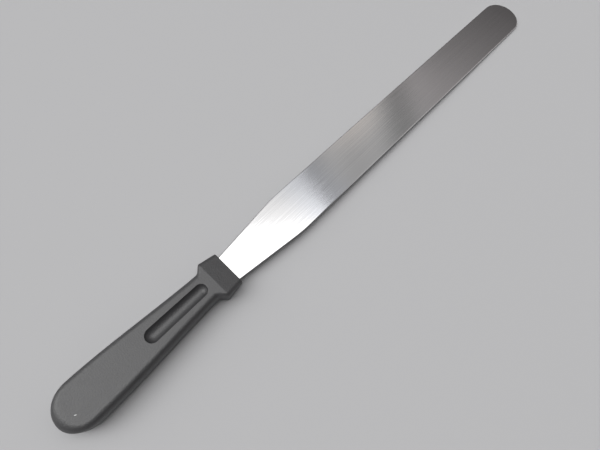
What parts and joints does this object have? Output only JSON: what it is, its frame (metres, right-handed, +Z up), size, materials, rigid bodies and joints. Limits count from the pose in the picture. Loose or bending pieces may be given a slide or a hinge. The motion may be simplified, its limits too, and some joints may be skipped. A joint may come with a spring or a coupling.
{
  "type": "crepe spatula",
  "caption": "Long flat crepe spatula: a round-tipped flexible steel blade that tapers into a black moulded handle with a collar and a thumb groove.",
  "frame": {"origin": "on the surface it stands on, under the middle of its length and width, with the blade held level", "axes": "+X along the blade towards the tip, +Y across the blade, +Z up out of the blade's flat"},
  "size_m": [0.4788, 0.0322, 0.016],
  "materials": {
    "blade_steel": "fine lengthwise grain, polished edges",
    "handle_plastic": "black, fine moulded texture, soft sheen"
  },
  "bodies": {
    "root": {"blade": "blade_steel", "handle": "handle_plastic"}
  },
  "joints": []
}
